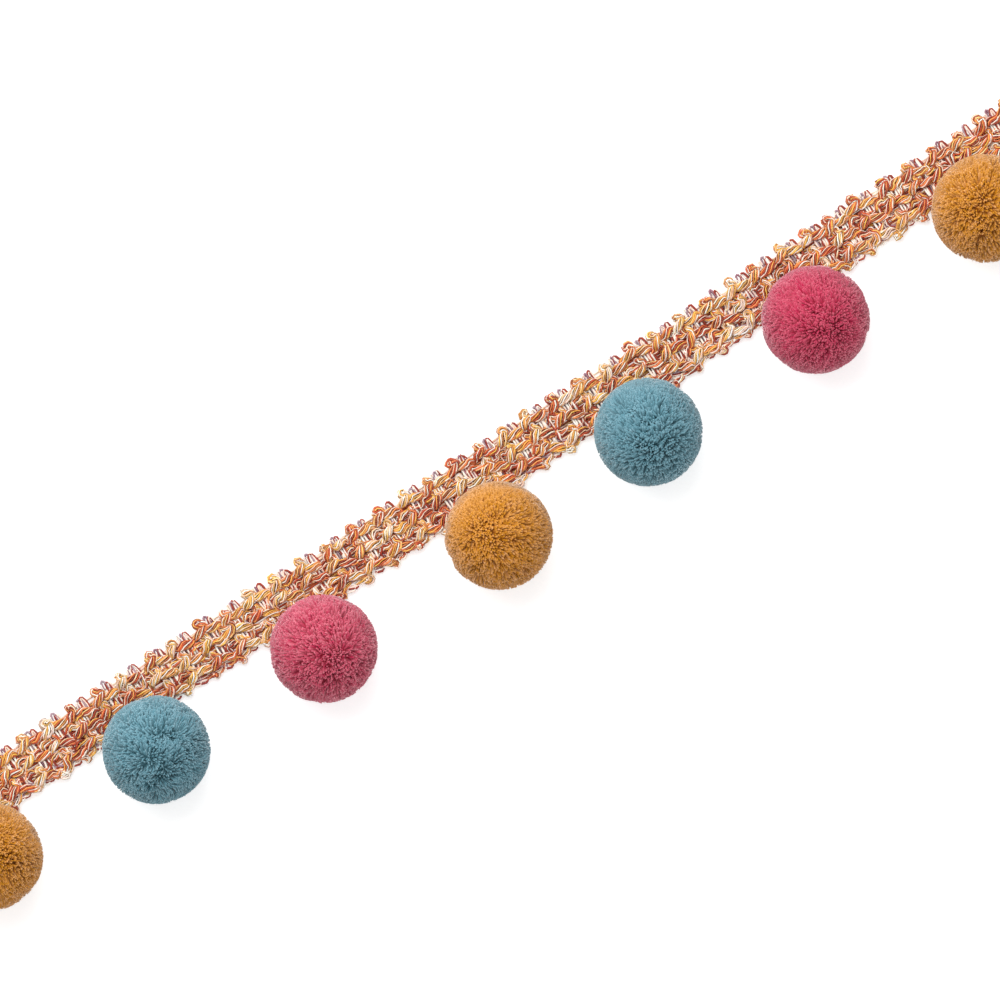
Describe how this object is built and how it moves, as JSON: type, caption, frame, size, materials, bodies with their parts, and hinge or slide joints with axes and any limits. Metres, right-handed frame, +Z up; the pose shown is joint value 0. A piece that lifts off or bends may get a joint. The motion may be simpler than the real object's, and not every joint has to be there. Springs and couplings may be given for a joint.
{
  "type": "length of pompom trim",
  "caption": "Straight length of crocheted braid trim with scalloped loop edges and round cut-pile pompoms tied along one side.",
  "frame": {"origin": "centre of the trim's box, on the surface that it lies on", "axes": "+X along the braid, +Y across it from the pompoms to the free loop edge, +Z up from the surface"},
  "size_m": [0.2566, 0.0282, 0.0198],
  "materials": {
    "braid_yarn": "crocheted space-dyed yarn, orange, amber, rust and cream",
    "mustard_pile": "cut yarn pile, mustard",
    "teal_pile": "cut yarn pile, dusty teal",
    "pink_pile": "cut yarn pile, rose pink"
  },
  "bodies": {
    "root": {"braid": "braid_yarn", "pompom_1": "mustard_pile", "pompom_2": "teal_pile", "pompom_3": "pink_pile", "pompom_4": "mustard_pile", "pompom_5": "teal_pile", "pompom_6": "pink_pile", "pompom_7": "mustard_pile"}
  },
  "joints": []
}
